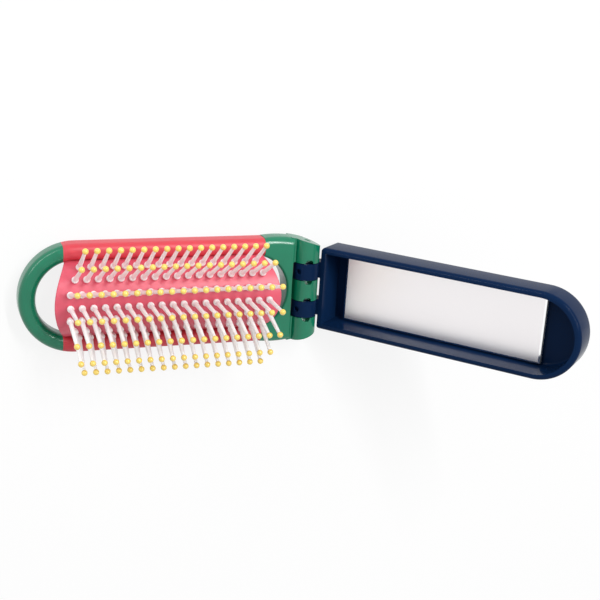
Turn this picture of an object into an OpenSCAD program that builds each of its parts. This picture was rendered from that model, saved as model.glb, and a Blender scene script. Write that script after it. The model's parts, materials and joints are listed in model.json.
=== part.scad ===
// Folding pop-up hairbrush with a mirror in its lid, shown open.
//
// The brush half lies on its back with the bristles up (+Z), the hanging loop
// towards -X and the hinge towards +X. The lid rises from the hinge.
// Origin: on the surface the brush lies on, in the middle of its whole length
// with the lid open. The sizes below along the length are measured from the
// middle of the bristle field. Lengths are in millimetres.

/* [Frame] */
// Overall width of the brush half
body_w = 39; // [37:0.5:42]
// Depth of the frame, underside to top
body_t = 9; // [8:0.5:10]
// Width of the loop and of the side bars
bar_w = 5.8; // [5.4:0.2:6.6]
// Half the distance between the two round ends of the opening
arc_x = 31.4; // [28:0.2:36]
// Rounding of the bar's section
edge_r = 2.6; // [1.6:0.1:2.6]
// Width of the end panel where the opening comes nearest to the hinge
neck_w = 2.3; // [2.2:0.1:4]
// Rounding of the panel along the opening
neck_edge_r = 1.1; // [0.5:0.1:1.2]
// Rounding of the panel along the hinge
panel_edge_r = 0.9; // [0.5:0.1:1]
// Radius of the outline beside the end panel
shoulder_r = 40; // [36:1:60]
// Distance from the start of the opening's round end to where that outline is widest
shoulder_run = 9.6; // [9:0.1:10]
// How far the outline stands out past the side bars there
shoulder_bulge = 0.45; // [0.4:0.05:0.8]
// Depth of the recess in the panel's hinge edge that the lid's knuckles turn in
knuckle_recess = 0.5; // [0.4:0.1:1]

/* [Hinge] */
// Diameter of the knuckles
barrel_d = 9.6; // [8.8:0.1:9.8]
// Gap between the end panel and the knuckles, without the recess
barrel_gap = 0.6; // [0.3:0.05:0.8]
// Depth of the hinge axis below the top of the frame
axis_drop = 2.5; // [2.2:0.1:2.9]
// Width of the middle knuckle of the frame
mid_knuckle_w = 7.7; // [6:0.1:9]
// Width of each knuckle of the lid
lid_knuckle_w = 6.05; // [5:0.05:7]
// Gap between neighbouring knuckles
knuckle_gap = 0.25; // [0.15:0.05:0.5]
// Thickness of the arms that carry the knuckles of the frame
arm_t = 7; // [5:0.2:7.6]
// Depth of the groove between the panel's top and the arms of the end knuckles
arm_groove = 1.2; // [0.8:0.1:1.6]
// Depth of the groove between the panel's top and the arm of the middle knuckle
mid_groove = 3.4; // [1:0.1:4]
// Diameter of the hinge pin
hinge_pin_d = 2.4; // [2:0.1:3]
// How far the pin's ends lie below the outer faces of the end knuckles
pin_recess = 1.6; // [0.5:0.1:3]
// Running clearance on radius of the lid's knuckles on the pin
running_gap = 0.06; // [0.03:0.01:0.1]
// Radius of the half-round click notches beside the knuckle gaps
notch_r = 1.5; // [0.6:0.1:1.8]
// Depth of the click notches along the axis
notch_depth = 1.3; // [0.4:0.1:1.6]
// Diameter of the blind core hole in each lid knuckle
core_hole_d = 2; // [1:0.1:2.4]
// Depth of that core hole
core_hole_depth = 1.3; // [0.8:0.1:2]

/* [Side sleeves] */
// How far the soft sleeves run past the start of the opening's round ends
sleeve_lap = 4.6; // [3.6:0.1:5.2]
// Wall of the sleeves round the bars
sleeve_wall = 1.2; // [0.8:0.1:1.4]
// Width of the snap slot along the underside of a sleeve
snap_slot_w = 1.6; // [1:0.1:2]

/* [Pop-up pad] */
// How much the arch's radius exceeds half the width of the opening
pad_swell = 0.5; // [0.4:0.05:0.8]
// Height of the arch's axis above the underside
pad_axis_z = 3.1; // [2.8:0.1:3.4]
// Thickness of the pad
pad_t = 1.2; // [0.9:0.1:1.6]
// How far the pad's feet run past the start of the opening's round ends
pad_foot_lap = 4.1; // [3.2:0.1:4.6]
// How much further the pad runs at its crest than at its feet, at each end
pad_bow = 4.6; // [4:0.1:5]
// Height of the pad's lower edge above the underside
pad_foot_z = 2.8; // [2.4:0.1:3]
// Gap between the pad and a side sleeve
pad_gap = 0.05; // [0.03:0.01:0.2]
// Height of the crest when the lid presses the pad flat
pad_folded_z = 1.44; // [1.3:0.02:2]

/* [Bristles] */
// Distance from the pad's surface to the middle of the ball tip
pin_len = 15.6; // [12:0.2:16]
// Margin between the first pin of a full row and the end of the pad's feet
row_margin = 0.4; // [0.2:0.1:2]
// Diameter of the shaft at its collar
shaft_root_d = 1.7; // [1.3:0.1:1.9]
// Diameter of the shaft at its tip
shaft_tip_d = 1.2; // [0.8:0.1:1.3]
// Diameter of the round collar above the pad
collar_d = 2.44; // [2:0.02:2.5]
// Clearance between a collar and the pad
collar_gap = 0.08; // [0.05:0.01:0.2]
// Clearance on radius of a shank in the pad
shank_gap = 0.06; // [0.04:0.01:0.15]
// Diameter of the ball tip
ball_d = 2.1; // [1.8:0.1:2.2]
// Depth of the shaft's end inside the ball
ball_socket = 0.7; // [0.5:0.1:0.9]
// Number of pins in the middle row and its two neighbours
mid_row_pins = 19; // [15:2:19]
// Number of pins in each second row from the outside
second_row_pins = 18; // [14:2:18]
// Number of pins in each outer row
outer_row_pins = 17; // [13:2:17]
// Place of the first side row round the arch, in degrees from the crest
side_row_deg = 17.6; // [17:0.1:19]
// Place of the second side row
second_row_deg = 37.3; // [36:0.1:38.5]
// Place of the outer row
outer_row_deg = 56.2; // [55:0.1:57]
// Lean of the first side row from upright, in degrees
side_lean = 16.5; // [14:0.5:18]
// Lean of the second side row
second_lean = 29.5; // [27:0.5:32]
// Lean of the outer row
outer_lean = 37; // [35:0.5:40]

/* [Lid] */
// How far the lid is turned open from its closed place, in degrees
open_deg = 130.4; // [115:0.1:131]
// How far the lid's side walls cover the side bars
lid_overlap = 2; // [1.8:0.1:3]
// How far the closed lid's far end stays inside the loop's outline
lid_inset = 0.2; // [0:0.1:1]
// Room between the folded bristles and the mirror of the closed lid
tip_room = 0.5; // [0.3:0.05:1]
// Wall along the lid's sides and round its far end
lid_wall = 2.1; // [1.5:0.1:2.2]
// Wall at the lid's hinge end
lid_end_wall = 1.7; // [1.4:0.1:1.8]
// Clearance between that wall and the knuckles of the frame
lid_end_gap = 0.6; // [0.4:0.05:0.9]
// Floor of the lid
lid_floor = 1.8; // [1.5:0.05:2]
// Gap between the closed lid's rim and the top of the frame
parting_gap = 0.15; // [0.1:0.05:0.3]
// Rounding of the lid's back edges
lid_back_r = 3; // [2.5:0.1:4]
// Rounding of the lid's corners at the hinge, seen from above
lid_corner_r = 1.2; // [0.8:0.1:4]
// Rounding of the rim's outer edge
lid_rim_r = 1.6; // [0.3:0.1:1.7]
// Rounding between the lid's floor and its walls
lid_fillet_r = 1; // [0.5:0.1:1.5]
// Depth of the arms between the lid's knuckles and its end wall
lid_arm_t = 4.5; // [3:0.1:5]

/* [Mirror] */
// Thickness of the mirror glass
mirror_t = 2; // [1.5:0.1:2.5]
// Distance from the hinge-end wall to the mirror
mirror_start_gap = 4.5; // [3:0.1:8]
// Gap between the mirror's long edges and the lid's side walls
mirror_side_gap = 0.7; // [0.4:0.1:2]
// Thickness of the adhesive sheet behind the mirror
tape_t = 0.3; // [0.2:0.05:0.4]
// Margin between the adhesive sheet's edge and the mirror's edge
tape_margin = 1.5; // [1:0.5:4]

/* [Hidden] */
$fn = 64;
fine = 180;                                   // facets of the widest arcs
big = 400;                                    // longer than anything that is cut
lap = 0.1;                                    // overlap of two strips of one piece
bar_lap = 1;                                  // how far the bars' core runs on under the frame's skin

// frame
out_r = body_w / 2;                           // outer radius of the loop
in_r = out_r - bar_w;                         // radius of the opening's round ends
mid_r = out_r - bar_w / 2;                    // middle of the bar
sleeve_x = arc_x + sleeve_lap;
shoulder_x = arc_x + shoulder_run;
head_half_w = out_r + shoulder_bulge;         // the panel is a little wider than the bars
shoulder_y = head_half_w - shoulder_r;
panel_x = arc_x + in_r + neck_w;              // the panel's hinge edge
panel_flat_x = panel_x - panel_edge_r;

// knuckles, measured from the middle plane
barrel_r = barrel_d / 2;
axis_x = panel_x + barrel_gap + barrel_r;
axis_z = body_t - axis_drop;
arm_base = body_t - arm_groove - arm_t;
lid_knuckle_y = mid_knuckle_w / 2 + knuckle_gap;
end_knuckle_y = lid_knuckle_y + lid_knuckle_w + knuckle_gap;
end_face_y = shoulder_y + sqrt(pow(shoulder_r, 2) - pow(axis_x - shoulder_x, 2));
hinge_pin_len = 2 * (end_face_y - pin_recess);
notch_x = -0.4;                               // the click notches lie just short of the barrel's top
core_hole_deg = 52;                           // the core holes point back towards the panel

// pad: its ends bow out along an arc seen from above
pad_r = in_r + pad_swell;
pad_half_w = in_r - pad_gap;
pad_foot_x = arc_x + pad_foot_lap;
pad_crest_x = pad_foot_x + pad_bow;
bow_r = (pow(pad_half_w, 2) + pow(pad_bow, 2)) / (2 * pad_bow);

// bristles
pin_pitch = 2 * (pad_foot_x - row_margin) / (mid_row_pins - 1);
row_pins = [outer_row_pins, second_row_pins, mid_row_pins, mid_row_pins,
            mid_row_pins, second_row_pins, outer_row_pins];
row_deg = [outer_row_deg, second_row_deg, side_row_deg, 0,
           -side_row_deg, -second_row_deg, -outer_row_deg];
row_lean = [outer_lean, second_lean, side_lean, 0, -side_lean, -second_lean, -outer_lean];
shank_len = pad_t * 0.95;                     // a shank ends just inside the pad
ball_entry = sqrt(pow(ball_d, 2) - pow(shaft_tip_d, 2)) / 2;
function collar_rise(i) = (collar_d / 2 + collar_gap) / cos(row_deg[i] - row_lean[i]);

// lid, in its own frame: x from the axis to the far end, z out of the tray's mouth
tray_room = pad_folded_z + pin_len + ball_d / 2 + tip_room - body_t - parting_gap;
lid_depth = lid_floor + tape_t + mirror_t + tray_room;
rim_z = -(axis_drop + parting_gap);
back_z = rim_z - lid_depth;
floor_z = back_z + lid_floor;
lid_r = in_r + lid_overlap;
lid_in_r = lid_r - lid_wall;
lid_w = 2 * lid_r;
lid_reach = axis_x + arc_x + out_r - lid_inset;
lid_arc_x = lid_reach - lid_r;
lid_end_x = round(100 * sqrt(pow(barrel_r + lid_end_gap, 2) - pow(rim_z, 2))) / 100;
lid_start = lid_end_x + lid_end_wall;
mirror_x = lid_start + mirror_start_gap;

// the whole length, from the loop to the back edge of the open lid
rise_deg = 180 - open_deg;
far_x = axis_x + (lid_reach - lid_back_r) * cos(rise_deg) - (back_z + lid_back_r) * sin(rise_deg)
        + lid_back_r;
origin_x = (far_x - arc_x - out_r) / 2;

// ---------- shared shapes ----------

// Rectangle from (0, 0) with its corners rounded by true arcs
module round_rect(w, h, r) {
    translate([r, 0]) square([w - 2 * r, h]);
    translate([0, r]) square([w, h - 2 * r]);
    for (x = [r, w - r], y = [r, h - r]) translate([x, y]) circle(r);
}

// Section of a strip from (0, 0), rounded only along its left side
module edge_section(w, h, r) {
    translate([r, 0]) square([w - r, h]);
    translate([0, r]) square([w, h - 2 * r]);
    for (y = [r, h - r]) translate([r, y]) circle(r);
}

// Outer and inner half of the bar's section, with d taken off all round
module outer_half(d, radius = out_r) {
    translate([radius - d, d]) mirror([1, 0]) edge_section(bar_w / 2 - d, body_t - 2 * d, edge_r - d);
}

module inner_half(d, r) {
    translate([in_r + d, d]) edge_section(bar_w / 2 - d, body_t - 2 * d, r);
}

// Loop, side bars and the arc at the opening's hinge end, with d taken off all round and that
// arc rounded by land_r. The side bars run past the sleeves' ends by bar_lap.
module bars(d, land_r) {
    translate([-arc_x, 0, 0]) rotate(90) rotate_extrude(angle = 180) {
        outer_half(d);
        inner_half(d, edge_r - d);
    }
    intersection() {
        translate([arc_x, 0, 0]) rotate(-90) rotate_extrude(angle = 180) inner_half(d, land_r);
        translate([arc_x, -out_r, 0]) cube([panel_flat_x - arc_x, body_w, body_t]);
    }
    for (m = [0, 1]) mirror([0, m, 0]) {
        translate([-arc_x, 0, 0]) rotate([90, 0, 90]) linear_extrude(2 * arc_x) {
            outer_half(d);
            inner_half(d, edge_r - d);
        }
        translate([arc_x, 0, 0]) rotate([90, 0, 90]) linear_extrude(sleeve_lap + bar_lap)
            outer_half(d);
    }
    difference() {
        translate([arc_x, edge_r - out_r, d])
            cube([sleeve_lap + bar_lap, 2 * (out_r - edge_r), body_t - 2 * d]);
        opening_end(d + land_r);
    }
}

// End panel between the sleeves and the hinge edge, rounded along its outer and hinge edges
module panel() {
    intersection() {
        union() {
            for (m = [0, 1]) mirror([0, m, 0]) intersection() {
                translate([shoulder_x, shoulder_y, 0]) {
                    rotate(90) rotate_extrude(angle = 30, $fn = fine) outer_half(0, shoulder_r);
                    rotate(90) rotate_extrude(angle = -30, $fn = fine) outer_half(0, shoulder_r);
                }
                translate([sleeve_x, 0, 0]) cube([panel_x - sleeve_x, body_w, body_t]);
            }
            difference() {
                linear_extrude(body_t) intersection() {
                    hinge_outline(-edge_r);
                    translate([sleeve_x, -out_r]) square([panel_x - sleeve_x, body_w]);
                }
                opening_end(neck_edge_r);
            }
        }
        translate([panel_x, body_w, 0]) rotate([90, 0, 0]) linear_extrude(2 * body_w) mirror([1, 0])
            edge_section(panel_x - sleeve_x + lap, body_t, panel_edge_r);
    }
}

// Clears the opening's hinge end, with d more all round
module opening_end(d) {
    translate([arc_x, 0, -1]) cylinder(r = in_r + d, h = body_t + 2);
}

// Outline of the panel and the end knuckles, grown by d
module hinge_outline(d) {
    intersection() {
        translate([shoulder_x, shoulder_y]) circle(shoulder_r + d, $fn = fine);
        translate([shoulder_x, -shoulder_y]) circle(shoulder_r + d, $fn = fine);
    }
}

// The stretch of the side bars that the sleeves cover, from y0 to y1, longer by d at each end
module sleeve_zone(y0, y1, d) {
    translate([-sleeve_x - d, y0, -1]) cube([2 * (sleeve_x + d), y1 - y0, body_t + 2]);
}

// Recess in the panel's hinge edge for the lid's knuckles
module recess() {
    translate([panel_x - knuckle_recess, -end_knuckle_y, -1])
        cube([2 * knuckle_recess, 2 * end_knuckle_y, body_t + 2]);
}

// One knuckle about the Y axis, from y0 to y1
module knuckle(y0, y1) {
    translate([0, y1, 0]) rotate([90, 0, 0]) cylinder(r = barrel_r, h = y1 - y0);
}

module hinge_bore(gap) {
    translate([0, big / 2, 0]) rotate([90, 0, 0]) cylinder(r = hinge_pin_d / 2 + gap, h = big, $fn = 32);
}

// Half-round click notch in a knuckle's end face at y
module click_notch(y) {
    translate([notch_x, y, barrel_r / 2]) intersection() {
        cylinder(r = notch_r, h = barrel_r, $fn = 32);
        translate([-notch_r, -notch_depth, 0]) cube([2 * notch_r, 2 * notch_depth, barrel_r]);
    }
}

// ---------- brush half ----------

// Arm from x0 to the hinge axis, between y0 and y1, a groove deep below the panel's top
module knuckle_arm(x0, y0, y1, groove) {
    translate([x0, y0, arm_base])
        cube([axis_x - x0, y1 - y0, body_t - groove - arm_base]);
}

module frame_knuckles() {
    for (m = [0, 1]) mirror([0, m, 0]) intersection() {
        union() {
            translate([axis_x, 0, axis_z]) knuckle(end_knuckle_y, head_half_w);
            knuckle_arm(panel_flat_x - lap, end_knuckle_y, head_half_w, arm_groove);
        }
        linear_extrude(axis_z + barrel_d) hinge_outline(0);
    }
    translate([axis_x, 0, axis_z]) knuckle(-mid_knuckle_w / 2, mid_knuckle_w / 2);
    knuckle_arm(panel_x - knuckle_recess - lap, -mid_knuckle_w / 2, mid_knuckle_w / 2, mid_groove);
}

module brush_frame() {
    color("seagreen") translate([-origin_x, 0, 0]) difference() {
        union() {
            difference() {
                bars(0, neck_edge_r);
                sleeve_zone(-out_r - 1, out_r + 1, 0);
                recess();
            }
            intersection() {
                bars(sleeve_wall, edge_r - sleeve_wall);
                sleeve_zone(-out_r - 1, out_r + 1, bar_lap);
            }
            difference() {
                panel();
                recess();
            }
            frame_knuckles();
        }
        translate([axis_x, 0, axis_z]) {
            hinge_bore(0);
            for (m = [-1, 1]) {
                click_notch(m * mid_knuckle_w / 2);
                click_notch(m * end_knuckle_y);
            }
        }
    }
}

module side_sleeve(m) {
    color("indianred") translate([-origin_x, 0, 0]) difference() {
        intersection() {
            bars(0, edge_r);
            sleeve_zone(m > 0 ? 0 : -out_r - 1, m > 0 ? out_r + 1 : 0, 0);
        }
        bars(sleeve_wall, edge_r - sleeve_wall);
        translate([-big / 2, m * mid_r - snap_slot_w / 2, -1])
            cube([big, snap_slot_w, 1 + 2 * sleeve_wall]);
    }
}

module side_sleeve_left() { side_sleeve(1); }
module side_sleeve_right() { side_sleeve(-1); }

module hinge_pin() {
    color("silver") translate([axis_x - origin_x, hinge_pin_len / 2, axis_z])
        rotate([90, 0, 0]) cylinder(d = hinge_pin_d, h = hinge_pin_len, $fn = 32);
}

// Puts its children at pin k of row i, with their z axis along the pin
module at_pin(i, k) {
    translate([(k - (row_pins[i] - 1) / 2) * pin_pitch - origin_x,
               pad_r * sin(row_deg[i]), pad_axis_z + pad_r * cos(row_deg[i])])
        rotate([-row_lean[i], 0, 0]) children();
}

module popup_pad() {
    color("palevioletred") difference() {
        translate([-origin_x, 0, 0]) intersection() {
            translate([-pad_crest_x, 0, pad_axis_z]) rotate([90, 0, 90])
                linear_extrude(2 * pad_crest_x) intersection() {
                    difference() {
                        circle(pad_r, $fn = fine);
                        circle(pad_r - pad_t, $fn = fine);
                    }
                    translate([-pad_half_w, pad_foot_z - pad_axis_z]) square([2 * pad_half_w, big]);
                }
            linear_extrude(pad_axis_z + pad_r + 1) intersection() {
                union() {
                    square([2 * pad_foot_x, body_w], center = true);
                    for (m = [-1, 1]) translate([m * (pad_crest_x - bow_r), 0])
                        circle(bow_r, $fn = fine);
                }
                union() {
                    square([2 * arc_x, 2 * pad_half_w], center = true);
                    for (m = [-1, 1]) translate([m * arc_x, 0]) circle(pad_half_w, $fn = fine);
                }
            }
        }
        for (i = [0:6], k = [0:row_pins[i] - 1]) at_pin(i, k) translate([0, 0, -2 * pad_t])
            cylinder(d = shaft_root_d + 2 * shank_gap, h = 4 * pad_t, $fn = 16);
    }
}

// One bristle: shank through the pad, round collar, tapered shaft, straight end in the ball
module bristle(i) {
    rise = collar_rise(i);
    translate([0, 0, -shank_len]) cylinder(d = shaft_root_d, h = shank_len + rise, $fn = 16);
    translate([0, 0, rise]) sphere(d = collar_d, $fn = 16);
    translate([0, 0, rise]) cylinder(d1 = shaft_root_d, d2 = shaft_tip_d,
                                     h = pin_len - ball_entry - rise, $fn = 16);
    translate([0, 0, pin_len - ball_entry - lap])
        cylinder(d = shaft_tip_d, h = lap + ball_entry - ball_d / 2 + ball_socket, $fn = 16);
}

module pin_row(i) {
    color("white") for (k = [0:row_pins[i] - 1]) at_pin(i, k) bristle(i);
}

module tip_row(i) {
    color("khaki") for (k = [0:row_pins[i] - 1]) at_pin(i, k) translate([0, 0, pin_len])
        difference() {
            sphere(d = ball_d, $fn = 16);
            translate([0, 0, -ball_d])
                cylinder(d = shaft_tip_d, h = ball_d / 2 + ball_socket, $fn = 16);
        }
}

module pin_row_1() { pin_row(0); }
module pin_row_2() { pin_row(1); }
module pin_row_3() { pin_row(2); }
module pin_row_4() { pin_row(3); }
module pin_row_5() { pin_row(4); }
module pin_row_6() { pin_row(5); }
module pin_row_7() { pin_row(6); }
module tip_row_1() { tip_row(0); }
module tip_row_2() { tip_row(1); }
module tip_row_3() { tip_row(2); }
module tip_row_4() { tip_row(3); }
module tip_row_5() { tip_row(4); }
module tip_row_6() { tip_row(5); }
module tip_row_7() { tip_row(6); }

// ---------- lid ----------

// Puts the lid's frame on the hinge axis, turned open
module on_lid() {
    translate([axis_x - origin_x, 0, axis_z]) rotate([0, -rise_deg, 0]) children();
}

// Half of the tray's outer section: x outwards, y up to the rim
module lid_half_section() {
    translate([0, back_z]) {
        square([lid_r - lid_back_r, lid_depth]);
        translate([0, lid_back_r]) square([lid_r, lid_depth - lid_back_r - lid_rim_r]);
        translate([0, lid_back_r]) square([lid_r - lid_rim_r, lid_depth - lid_back_r]);
        translate([lid_r - lid_back_r, lid_back_r]) circle(lid_back_r);
        translate([lid_r - lid_rim_r, lid_depth - lid_rim_r]) circle(lid_rim_r, $fn = 24);
    }
}

// Half of the cavity's section, open at the rim
module cavity_half_section() {
    translate([0, floor_z]) {
        square([lid_in_r - lid_fillet_r, lid_depth]);
        translate([0, lid_fillet_r]) square([lid_in_r, lid_depth]);
        translate([lid_in_r - lid_fillet_r, lid_fillet_r]) circle(lid_fillet_r, $fn = 32);
    }
}

// A section's two mirrored halves run from x0 to the start of the round end, and turn round it
module along_lid(x0) {
    translate([x0, 0, 0]) rotate([90, 0, 90]) linear_extrude(lid_arc_x - x0) {
        children();
        mirror([1, 0]) children();
    }
    translate([lid_arc_x, 0, 0]) rotate(-90) rotate_extrude(angle = 180) intersection() {
        children();
        translate([0, -big / 2]) square([big, big]);
    }
}

module lid_knuckles() {
    for (m = [-1, 1]) {
        y0 = m > 0 ? lid_knuckle_y : -lid_knuckle_y - lid_knuckle_w;
        difference() {
            knuckle(y0, y0 + lid_knuckle_w);
            rotate([0, rise_deg - core_hole_deg, 0])
                translate([0, y0 + lid_knuckle_w / 2, barrel_r - core_hole_depth])
                    cylinder(d = core_hole_d, h = barrel_d, $fn = 24);
        }
        translate([0, y0, rim_z - lid_arm_t])
            cube([lid_end_x + lap, lid_knuckle_w, lid_arm_t]);
    }
}

module lid_shell() {
    color("midnightblue") on_lid() difference() {
        union() {
            intersection() {
                along_lid(lid_end_x) lid_half_section();
                // rounded heel, seen from the side
                translate([lid_end_x, lid_r, back_z]) rotate([90, 0, 0]) linear_extrude(lid_w)
                    round_rect(lid_reach, 2 * lid_depth, lid_back_r);
                // rounded corners, seen from above
                translate([lid_end_x, -lid_r, back_z]) linear_extrude(lid_depth)
                    union() {
                        round_rect(lid_arc_x - lid_end_x, lid_w, lid_corner_r);
                        translate([lid_corner_r, 0]) square([lid_reach, lid_w]);
                    }
            }
            lid_knuckles();
        }
        along_lid(lid_start) cavity_half_section();
        hinge_bore(running_gap);
    }
}

module mirror_sheet(margin, z, t) {
    half = lid_in_r - mirror_side_gap - margin;
    translate([mirror_x + margin, -half, z])
        cube([lid_arc_x - mirror_x - 2 * margin, 2 * half, t]);
}

module mirror_plate() {
    color("gainsboro") on_lid() mirror_sheet(0, floor_z + tape_t, mirror_t);
}

module mirror_tape() {
    color("gray") on_lid() mirror_sheet(tape_margin, floor_z, tape_t);
}

brush_frame();
side_sleeve_left();
side_sleeve_right();
popup_pad();
hinge_pin();
pin_row_1();
pin_row_2();
pin_row_3();
pin_row_4();
pin_row_5();
pin_row_6();
pin_row_7();
tip_row_1();
tip_row_2();
tip_row_3();
tip_row_4();
tip_row_5();
tip_row_6();
tip_row_7();
lid_shell();
mirror_plate();
mirror_tape();
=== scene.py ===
import json
import math

import bmesh
import bpy
from mathutils import Matrix, Vector


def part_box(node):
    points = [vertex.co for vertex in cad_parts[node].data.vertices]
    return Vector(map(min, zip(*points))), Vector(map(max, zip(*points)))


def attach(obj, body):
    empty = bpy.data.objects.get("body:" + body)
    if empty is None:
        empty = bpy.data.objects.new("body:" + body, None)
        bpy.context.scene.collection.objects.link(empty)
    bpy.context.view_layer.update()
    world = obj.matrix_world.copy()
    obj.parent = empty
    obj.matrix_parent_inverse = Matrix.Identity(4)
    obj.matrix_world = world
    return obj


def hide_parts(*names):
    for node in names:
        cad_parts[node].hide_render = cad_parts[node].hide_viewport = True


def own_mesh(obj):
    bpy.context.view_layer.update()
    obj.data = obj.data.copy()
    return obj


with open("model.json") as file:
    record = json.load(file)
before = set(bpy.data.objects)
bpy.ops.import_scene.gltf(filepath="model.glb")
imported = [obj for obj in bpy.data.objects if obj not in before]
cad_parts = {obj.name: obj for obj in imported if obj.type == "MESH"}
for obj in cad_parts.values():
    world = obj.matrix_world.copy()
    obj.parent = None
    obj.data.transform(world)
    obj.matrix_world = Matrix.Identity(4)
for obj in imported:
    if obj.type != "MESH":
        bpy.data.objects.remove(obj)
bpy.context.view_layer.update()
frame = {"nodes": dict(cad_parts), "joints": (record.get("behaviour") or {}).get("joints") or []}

mm = 0.001

# ---- Camera ----
# A short telephoto above the loop end, on the hinge's left: the brush half lies flat below it
# and the open lid leans away to the right.
camera = bpy.data.objects.new("camera", bpy.data.cameras.new("camera"))
camera.data.sensor_width = 36
camera.data.lens = 68.88
camera_place = Vector((-135.778, 121.093, 385.540)) * mm
to_right = Vector((0.937230, 0.062185, 0.343123))
to_top = Vector((0.046020, 0.953309, -0.298470))
to_back = to_right.cross(to_top)
camera_turn = Matrix((to_right, to_top, to_back)).transposed()
camera.matrix_world = Matrix.LocRotScale(camera_place, camera_turn, None)
bpy.context.scene.collection.objects.link(camera)
bpy.context.scene.camera = camera
bpy.context.scene.view_settings.view_transform = "Standard"


# ---- Table, room and lamps ----
# A matt white table in a white room, under two strip lamps. The eye, glossy plastic and the
# mirror see plain white all round; the table keeps the soft shadow under the brush.
def linear(hex_colour):
    """An sRGB hex colour as linear RGBA."""
    parts = [int(hex_colour[i:i + 2], 16) / 255 for i in (0, 2, 4)]
    return [c / 12.92 if c <= 0.04045 else ((c + 0.055) / 1.055) ** 2.4 for c in parts] + [1]


def add(tree, kind, inputs=None, **settings):
    """A new node with its settings; inputs are values or the sockets that feed it."""
    node = tree.nodes.new(kind)
    for name, value in settings.items():
        setattr(node, name, value)
    for name, value in (inputs or {}).items():
        if isinstance(value, bpy.types.NodeSocket):
            tree.links.new(value, node.inputs[name])
        else:
            node.inputs[name].default_value = value
    return node


def new_material(name):
    """An empty node material with its output."""
    material = bpy.data.materials.new(name)
    material.use_nodes = True
    material.node_tree.nodes.clear()
    return material, material.node_tree, material.node_tree.nodes.new("ShaderNodeOutputMaterial")


def looked_at(tree):
    """A socket that is 1 for the eye, a glossy surface or glass, and 0 for light that falls."""
    path = add(tree, "ShaderNodeLightPath")
    eye_or_gloss = add(tree, "ShaderNodeMath", {0: path.outputs["Is Camera Ray"],
                                                1: path.outputs["Is Glossy Ray"]},
                       operation="MAXIMUM")
    any_look = add(tree, "ShaderNodeMath", {0: eye_or_gloss.outputs[0],
                                            1: path.outputs["Is Transmission Ray"]},
                   operation="MAXIMUM")
    return any_look.outputs[0]


room_light = 0.5
world = bpy.data.worlds.new("white room")
world.use_nodes = True
tree = world.node_tree
tree.nodes.clear()
soft = add(tree, "ShaderNodeBackground", {"Color": linear("ffffff"), "Strength": room_light})
white = add(tree, "ShaderNodeBackground", {"Color": linear("ffffff"), "Strength": 1})
room = add(tree, "ShaderNodeMixShader", {0: looked_at(tree), 1: soft.outputs[0],
                                         2: white.outputs[0]})
add(tree, "ShaderNodeOutputWorld", {"Surface": room.outputs[0]})
bpy.context.scene.world = world

table_half = 4
table_drop = 0.05 * mm
bm = bmesh.new()
bmesh.ops.create_grid(bm, x_segments=1, y_segments=1, size=table_half)
bmesh.ops.translate(bm, vec=(0, 0, -table_drop), verts=bm.verts)
mesh = bpy.data.meshes.new("table")
bm.to_mesh(mesh)
bm.free()
table = bpy.data.objects.new("table", mesh)
bpy.context.scene.collection.objects.link(table)

# The share of plain white that the eye sees; the rest is the matt top with its shadow.
white_share = 0.85
material, tree, output = new_material("matt white laminate")
share = add(tree, "ShaderNodeMath", {0: looked_at(tree), 1: white_share}, operation="MULTIPLY")
matt = add(tree, "ShaderNodeBsdfDiffuse", {"Color": linear("f7f7f7")})
glow = add(tree, "ShaderNodeEmission", {"Color": linear("ffffff"), "Strength": 1})
top = add(tree, "ShaderNodeMixShader", {0: share.outputs[0], 1: matt.outputs[0],
                                        2: glow.outputs[0]})
tree.links.new(top.outputs[0], output.inputs["Surface"])
mesh.materials.append(material)

# The overhead strip draws the white streaks on the end panel and on the lid's far shoulder, the
# low one behind the loop draws the streak round the loop. Sizes are in metres.
strip_wide = 0.03
for name, place, along, strip_long, watts in (
        ("overhead strip", Vector((0.27, 0.46, 0.75)), Vector((-0.42, 0.92, -0.36)), 0.7, 6),
        ("low strip", Vector((-0.62, 0.60, 0.25)), Vector((0.7, 0.72, 0)), 0.8, 2)):
    lamp = bpy.data.objects.new(name, bpy.data.lights.new(name, "AREA"))
    lamp.data.shape = "RECTANGLE"
    lamp.data.size = strip_long
    lamp.data.size_y = strip_wide
    lamp.data.energy = watts
    away = place.normalized()
    across = away.cross(along).normalized()
    lamp_turn = Matrix((across.cross(away), across, away)).transposed()
    lamp.matrix_world = Matrix.LocRotScale(place, lamp_turn, None)
    bpy.context.scene.collection.objects.link(lamp)


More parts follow.
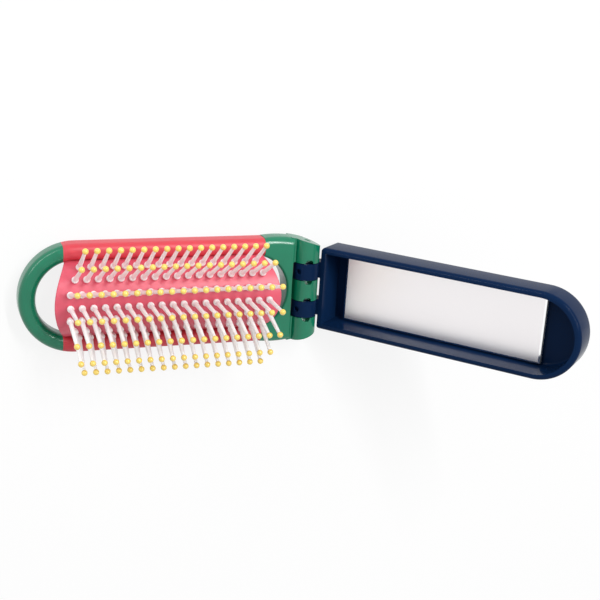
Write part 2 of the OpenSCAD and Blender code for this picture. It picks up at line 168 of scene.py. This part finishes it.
# ---- Brush frame ----
# One glossy injection moulding of ABS: loop, side bars, end panel and the three outer knuckles.
# It comes polished from the mould, so its edges catch thin white streaks of the lamps.
def moulded_plastic(name, colour, deep, rough, shine, peel):
    """Gloss plastic with the faint flow marks and the fine ripple of its mould.

    shine is the specular level, peel the strength of the ripple.
    """
    material, tree, output = new_material(name)
    place = add(tree, "ShaderNodeTexCoord").outputs["Object"]
    flow_mm = 14
    flow = add(tree, "ShaderNodeTexNoise", {"Vector": place, "Scale": 1000 / flow_mm,
                                            "Detail": 2, "Roughness": 0.5})
    tint = add(tree, "ShaderNodeMix", {"Factor": flow.outputs["Fac"]}, data_type="RGBA")
    tint.inputs["A"].default_value = linear(deep)
    tint.inputs["B"].default_value = linear(colour)
    uneven = 0.05
    haze = add(tree, "ShaderNodeMapRange", {"Value": flow.outputs["Fac"], "To Min": rough - uneven,
                                            "To Max": rough + uneven})
    ripple_mm = 1.6
    ripple_deep = 0.03 * mm
    ripple = add(tree, "ShaderNodeTexNoise", {"Vector": place, "Scale": 1000 / ripple_mm,
                                              "Detail": 2, "Roughness": 0.4})
    bump = add(tree, "ShaderNodeBump", {"Height": ripple.outputs["Fac"], "Strength": peel,
                                        "Distance": ripple_deep})
    shader = add(tree, "ShaderNodeBsdfPrincipled", {
        "Base Color": tint.outputs["Result"], "Roughness": haze.outputs["Result"],
        "Normal": bump.outputs["Normal"], "IOR": 1.5, "Specular IOR Level": shine})
    tree.links.new(shader.outputs[0], output.inputs["Surface"])
    return material


def dress(name, material):
    """Gives a CAD node its material, and smooth shading where its faces meet softly."""
    node = frame["nodes"][name]
    node.data.materials.clear()
    node.data.materials.append(material)
    node.data.shade_smooth()
    weld = node.modifiers.new("joined triangles", "WELD")
    weld.merge_threshold = 0.001 * mm
    crease = node.modifiers.new("crisp edges", "EDGE_SPLIT")
    crease.split_angle = math.radians(32)


green_abs = moulded_plastic("moulded green ABS", "0a7d5b", "076d4f", 0.2, 0.5, 0.4)
dress("brush_frame", green_abs)


# ---- Grip sleeves ----
# Two soft rubber sleeves moulded round the side bars, with a snap slot underneath. Their outer
# skin runs flush with the frame and ends in a fine dark joint at the green plastic.
def soft_rubber(name, colour, deep, rough):
    """Satin thermoplastic rubber: soft, slightly uneven gloss and a fine tooth."""
    material, tree, output = new_material(name)
    place = add(tree, "ShaderNodeTexCoord").outputs["Object"]
    cloud_mm = 9
    cloud = add(tree, "ShaderNodeTexNoise", {"Vector": place, "Scale": 1000 / cloud_mm,
                                             "Detail": 3, "Roughness": 0.55})
    tint = add(tree, "ShaderNodeMix", {"Factor": cloud.outputs["Fac"]}, data_type="RGBA")
    tint.inputs["A"].default_value = linear(deep)
    tint.inputs["B"].default_value = linear(colour)
    uneven = 0.06
    haze = add(tree, "ShaderNodeMapRange", {"Value": cloud.outputs["Fac"],
                                            "To Min": rough - uneven, "To Max": rough + uneven})
    tooth_mm = 0.35
    tooth_deep = 0.02 * mm
    tooth = add(tree, "ShaderNodeTexNoise", {"Vector": place, "Scale": 1000 / tooth_mm,
                                             "Detail": 2, "Roughness": 0.5})
    bump = add(tree, "ShaderNodeBump", {"Height": tooth.outputs["Fac"], "Strength": 0.25,
                                        "Distance": tooth_deep})
    shader = add(tree, "ShaderNodeBsdfPrincipled", {
        "Base Color": tint.outputs["Result"], "Roughness": haze.outputs["Result"],
        "Normal": bump.outputs["Normal"], "IOR": 1.45, "Subsurface Weight": 0.12,
        "Subsurface Scale": 2 * mm, "Subsurface Radius": (1, 0.35, 0.3)})
    tree.links.new(shader.outputs[0], output.inputs["Surface"])
    return material


def new_piece(name, bm, material, body):
    """Turns a bmesh into a smooth-shaded piece that rides on a body."""
    mesh = bpy.data.meshes.new(name)
    bm.to_mesh(mesh)
    bm.free()
    mesh.shade_smooth()
    mesh.materials.append(material)
    piece = bpy.data.objects.new(name, mesh)
    bpy.context.scene.collection.objects.link(piece)
    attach(piece, body)
    return piece


def thicken(piece, wall_thick, edge_round, edge_segments):
    """Gives a shell its wall, inwards, and rolls the wall's edges."""
    wall = piece.modifiers.new("wall", "SOLIDIFY")
    wall.thickness = wall_thick
    wall.offset = -1
    edge = piece.modifiers.new("rolled edges", "BEVEL")
    edge.width = edge_round
    edge.harden_normals = True
    edge.segments = edge_segments
    edge.limit_method = "ANGLE"
    edge.angle_limit = math.radians(50)


red_rubber = soft_rubber("moulded red rubber", "d74350", "ca3b48", 0.4)
pad_low, pad_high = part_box("popup_pad")
middle_x = pad_low.x / 2 + pad_high.x / 2
bar_middle = 16.6 * mm
bar_wide = 5.8 * mm
bar_deep = 9 * mm
bar_round = 2.6 * mm
arc_x = 31.4 * mm
opening_r = 13.7 * mm
loop_turn = math.radians(24)
sleeve_end = 36 * mm
sleeve_wall = 1.2 * mm
sleeve_edge = 0.45 * mm
slot_wide = 1.6 * mm
slot_below = 0.3 * mm
straight_steps = 24
arc_steps = 4
straight_stops = [-arc_x + 2 * arc_x * k / straight_steps for k in range(1, straight_steps)]
arc_stops = [arc_x + (sleeve_end - arc_x) * k / arc_steps for k in range(arc_steps + 1)]

for side, name in ((1, "side_sleeve_left"), (-1, "side_sleeve_right")):
    # the bar's rounded section, upright where the straight run meets the loop
    bm = bmesh.new()
    bmesh.ops.create_grid(bm, x_segments=1, y_segments=1, size=0.5)
    bmesh.ops.scale(bm, vec=(bar_deep, bar_wide, 1), verts=bm.verts)
    bmesh.ops.rotate(bm, cent=(0, 0, 0), matrix=Matrix.Rotation(math.pi / 2, 3, "Y"),
                     verts=bm.verts)
    bmesh.ops.translate(bm, vec=(-arc_x, bar_middle, bar_deep / 2), verts=bm.verts)
    bmesh.ops.bevel(bm, geom=bm.verts[:], offset=bar_round, segments=12, profile=0.5,
                    affect="VERTICES", material=-1)
    section = bm.faces[:]
    # the straight run, then the hinge end, where the inner side follows the opening's arc
    front = section
    last_x = -arc_x
    last_widen = 0
    for x in straight_stops + arc_stops:
        grown = bmesh.ops.extrude_face_region(bm, geom=front)["geom"]
        verts = [g for g in grown if isinstance(g, bmesh.types.BMVert)]
        front = [g for g in grown if isinstance(g, bmesh.types.BMFace)]
        bmesh.ops.translate(bm, vec=(x - last_x, 0, 0), verts=verts)
        past_arc = max(0, x - arc_x)
        widen = opening_r - math.sqrt(opening_r ** 2 - past_arc ** 2)
        inner = [v for v in verts if v.co.y < bar_middle]
        bmesh.ops.translate(bm, vec=(0, last_widen - widen, 0), verts=inner)
        last_x, last_widen = x, widen
    # the other end turns with the loop; all sections come out of the tube, and the cut is square
    bmesh.ops.spin(bm, geom=section, cent=(-arc_x, 0, 0), axis=(0, 0, 1), dvec=(0, 0, 0),
                   angle=loop_turn, steps=8, use_merge=False)
    sections = [f for f in bm.faces if len(f.verts) > 4]
    bmesh.ops.delete(bm, geom=sections, context="FACES_ONLY")
    bmesh.ops.remove_doubles(bm, verts=bm.verts, dist=1e-6)
    bmesh.ops.bisect_plane(bm, geom=bm.verts[:] + bm.edges[:] + bm.faces[:], dist=1e-7,
                           plane_co=(-sleeve_end, 0, 0), plane_no=(-1, 0, 0), clear_outer=True)
    # the snap slot along the underside
    under = [f for f in bm.faces if f.calc_center_median().z < slot_below
             and abs(f.calc_center_median().y - bar_middle) < slot_wide / 2]
    bmesh.ops.delete(bm, geom=under, context="FACES")
    if side < 0:
        bmesh.ops.scale(bm, vec=(1, -1, 1), verts=bm.verts)
    bmesh.ops.translate(bm, vec=(middle_x, 0, 0), verts=bm.verts)
    bmesh.ops.recalc_face_normals(bm, faces=bm.faces)
    sleeve = new_piece(name + "_grip", bm, red_rubber, "brush")
    thicken(sleeve, sleeve_wall, sleeve_edge, 2)
    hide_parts(name)


# ---- Pop-up pad ----
# A thin arch of soft rubber that carries the bristles, moulded in one with the sleeves. On the
# brush the lid presses it flat and fingers push it back out from behind; here it keeps its open
# arch.
rose_rubber = soft_rubber("moulded rose rubber", "e46075", "da5468", 0.34)
pad_r = 14.2 * mm
pad_axis_z = 3.1 * mm
pad_wall = 1.2 * mm
pad_edge = 0.35 * mm
pad_half_wide = 13.65 * mm
pad_foot_x = 35.5 * mm
pad_foot_z = 2.8 * mm
pad_bow = 4.6 * mm
bow_r = (pad_half_wide ** 2 + pad_bow ** 2) / (2 * pad_bow)
arch_start = math.acos(pad_half_wide / pad_r)
shoulder_z = pad_axis_z + pad_r * math.sin(arch_start)
arch_steps = 72
columns = 96

# across the brush: a side wall, the arch and the other side wall
bm = bmesh.new()
foot = bm.verts.new((-1, -pad_half_wide, pad_foot_z))
shoulder = bmesh.ops.extrude_vert_indiv(bm, verts=[foot])["verts"]
bmesh.ops.translate(bm, vec=(0, 0, shoulder_z - pad_foot_z), verts=shoulder)
arch_end = bmesh.ops.spin(bm, geom=shoulder, cent=(0, 0, pad_axis_z), axis=(-1, 0, 0),
                          dvec=(0, 0, 0), angle=math.pi - 2 * arch_start, steps=arch_steps,
                          use_merge=False)["geom_last"]
far_shoulder = [g for g in arch_end if isinstance(g, bmesh.types.BMVert)]
far_foot = bmesh.ops.extrude_vert_indiv(bm, verts=far_shoulder)["verts"]
bmesh.ops.translate(bm, vec=(0, 0, pad_foot_z - far_foot[0].co.z), verts=far_foot)
# drawn from -1 to 1 along the brush, then stretched to the two bowed ends
profile = bm.edges[:]
for column in range(columns):
    grown = bmesh.ops.extrude_edge_only(bm, edges=profile)["geom"]
    verts = {g for g in grown if isinstance(g, bmesh.types.BMVert)}
    profile = [g for g in grown if isinstance(g, bmesh.types.BMEdge) and verts.issuperset(g.verts)]
    bmesh.ops.translate(bm, vec=(2 / columns, 0, 0), verts=list(verts))
for v in bm.verts:
    half_long = pad_foot_x + pad_bow - bow_r + math.sqrt(bow_r ** 2 - v.co.y ** 2)
    v.co.x = middle_x + v.co.x * half_long
bmesh.ops.recalc_face_normals(bm, faces=bm.faces)
if sum(f.normal.z for f in bm.faces) < 0:
    bmesh.ops.reverse_faces(bm, faces=bm.faces)
pad = new_piece("rubber_pad", bm, rose_rubber, "brush")
thicken(pad, pad_wall, pad_edge, 3)
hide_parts("popup_pad")
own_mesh(pad)


# ---- Bristles ----
# White nylon pins, each snapped into the pad by a round collar, with a yellow ball dipped on its
# tip. Nylon lets a little light through, so the shafts look milky and soft.
def nylon(name, colour, deep, rough, milk):
    """Milky nylon with faint streaks along it; milk is how much light goes through."""
    material, tree, output = new_material(name)
    place = add(tree, "ShaderNodeTexCoord").outputs["Object"]
    streak_mm = 2.5
    streak = add(tree, "ShaderNodeTexNoise", {"Vector": place, "Scale": 1000 / streak_mm,
                                              "Detail": 1, "Roughness": 0.5})
    tint = add(tree, "ShaderNodeMix", {"Factor": streak.outputs["Fac"]}, data_type="RGBA")
    tint.inputs["A"].default_value = linear(deep)
    tint.inputs["B"].default_value = linear(colour)
    shader = add(tree, "ShaderNodeBsdfPrincipled", {
        "Base Color": tint.outputs["Result"], "Roughness": rough, "IOR": 1.53,
        "Specular IOR Level": 0.9, "Coat Weight": 0.6, "Coat Roughness": 0.25,
        "Subsurface Weight": milk, "Subsurface Scale": 1.5 * mm,
        "Subsurface Radius": (1, 0.95, 0.9)})
    tree.links.new(shader.outputs[0], output.inputs["Surface"])
    return material


white_nylon = nylon("moulded white nylon", "ffffff", "fcfcfc", 0.3, 0.4)
yellow_nylon = nylon("dipped yellow nylon", "fadd62", "f4cb52", 0.3, 0.1)
for row in range(1, 8):
    dress(f"pin_row_{row}", white_nylon)
    dress(f"tip_row_{row}", yellow_nylon)


# ---- Hinge pin ----
# A straight length of steel wire, pressed into the frame's knuckles; its end shows at the bottom
# of the hole in each outer knuckle. Drawing the wire leaves fine marks along it.
material, tree, output = new_material("drawn steel wire")
place = add(tree, "ShaderNodeTexCoord").outputs["Object"]
die_marks_mm = 0.25
stretched = add(tree, "ShaderNodeMapping", {"Vector": place, "Scale": (1, 0.05, 1)})
marks = add(tree, "ShaderNodeTexNoise", {"Vector": stretched.outputs[0],
                                         "Scale": 1000 / die_marks_mm, "Detail": 2})
haze = add(tree, "ShaderNodeMapRange", {"Value": marks.outputs["Fac"], "To Min": 0.25,
                                        "To Max": 0.45})
shader = add(tree, "ShaderNodeBsdfPrincipled", {"Base Color": linear("b9bcc0"), "Metallic": 1,
                                                "Roughness": haze.outputs["Result"]})
tree.links.new(shader.outputs[0], output.inputs["Surface"])
dress("hinge_pin", material)


# ---- Lid ----
# A deep tray moulded in navy ABS, with two knuckles on its hinge end. Its shine is kept low, so
# that the walls stay dark where they meet the white room at a flat angle.
navy_abs = moulded_plastic("moulded navy ABS", "0e2749", "0a1f3f", 0.15, 0.035, 0.3)
dress("lid_shell", navy_abs)


# ---- Mirror and its adhesive sheet ----
# A strip of 2 mm silvered float glass with ground edges, stuck to the lid's floor with a sheet
# of thin white foam tape.
material, tree, output = new_material("white foam tape")
place = add(tree, "ShaderNodeTexCoord").outputs["Object"]
cell_mm = 0.4
cell_deep = 0.05 * mm
cells = add(tree, "ShaderNodeTexVoronoi", {"Vector": place, "Scale": 1000 / cell_mm})
bump = add(tree, "ShaderNodeBump", {"Height": cells.outputs["Distance"], "Strength": 0.4,
                                    "Distance": cell_deep})
shader = add(tree, "ShaderNodeBsdfPrincipled", {"Base Color": linear("dcdcd8"), "Roughness": 0.8,
                                                "Normal": bump.outputs["Normal"]})
tree.links.new(shader.outputs[0], output.inputs["Surface"])
dress("mirror_tape", material)


def silvered(name, colour, low, high):
    """Silvered float glass; what it mirrors is blurred from low to high, slightly unevenly."""
    material, tree, output = new_material(name)
    place = add(tree, "ShaderNodeTexCoord").outputs["Object"]
    wave_mm = 30
    wave = add(tree, "ShaderNodeTexNoise", {"Vector": place, "Scale": 1000 / wave_mm, "Detail": 1})
    haze = add(tree, "ShaderNodeMapRange", {"Value": wave.outputs["Fac"], "To Min": low,
                                            "To Max": high})
    shader = add(tree, "ShaderNodeBsdfPrincipled", {"Base Color": linear(colour), "Metallic": 1,
                                                    "Roughness": haze.outputs["Result"]})
    tree.links.new(shader.outputs[0], output.inputs["Surface"])
    return material


# The face looks milky, as under a wiped film of polish; its ground border stays clear and bright.
silver = silvered("silvered float glass", "f3f0f1", 0.32, 0.38)
bright_border = silvered("polished glass bevel", "ffffff", 0.1, 0.16)

# The sides keep the fine matt grit of the wheel that ground them.
ground, tree, output = new_material("ground glass edge")
place = add(tree, "ShaderNodeTexCoord").outputs["Object"]
grit_mm = 0.3
grit = add(tree, "ShaderNodeTexNoise", {"Vector": place, "Scale": 1000 / grit_mm, "Detail": 2})
tint = add(tree, "ShaderNodeMix", {"Factor": grit.outputs["Fac"]}, data_type="RGBA")
tint.inputs["A"].default_value = linear("dfe8e4")
tint.inputs["B"].default_value = linear("f2f6f4")
shader = add(tree, "ShaderNodeBsdfPrincipled", {"Base Color": tint.outputs["Result"],
                                                "Roughness": 0.45, "IOR": 1.52})
tree.links.new(shader.outputs[0], output.inputs["Surface"])

# Made flat in the lid's own frame, whose x runs from the hinge's axis to the lid's far end.
hinge = next(joint for joint in frame["joints"] if joint["name"] == "lid_hinge")
lid_rise = math.radians(49.6)
lid_place = Matrix.Translation(hinge["pos_m"]) @ Matrix.Rotation(-lid_rise, 4, "Y")
mirror_long = 76.9 * mm
mirror_half = 12.9 * mm
mirror_thick = 2 * mm
mirror_start = 10.91 * mm
mirror_back = -14.09 * mm
bevel_wide = 0.6 * mm
bevel_deep = 0.2 * mm
side_thick = mirror_thick - bevel_deep
face_slot, border_slot, side_slot = 0, 1, 2
bm = bmesh.new()
bmesh.ops.create_cube(bm, size=1)
bmesh.ops.scale(bm, vec=(mirror_long, 2 * mirror_half, side_thick), verts=bm.verts)
bmesh.ops.translate(bm, verts=bm.verts, vec=(mirror_start + mirror_long / 2, 0,
                                             mirror_back + side_thick / 2))
for f in bm.faces:
    f.material_index = side_slot
face = [f for f in bm.faces if f.normal.z > 0.9]
border = bmesh.ops.inset_region(bm, faces=face, thickness=bevel_wide, depth=bevel_deep,
                                use_even_offset=True)["faces"]
for f in border:
    f.material_index = border_slot
for f in face:
    f.material_index = face_slot
bmesh.ops.transform(bm, matrix=lid_place, verts=bm.verts)
mesh = bpy.data.meshes.new("mirror")
bm.to_mesh(mesh)
bm.free()
for material in (silver, bright_border, ground):
    mesh.materials.append(material)
mirror = bpy.data.objects.new("mirror_glass", mesh)
bpy.context.scene.collection.objects.link(mirror)
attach(mirror, "lid")
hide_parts("mirror_plate")
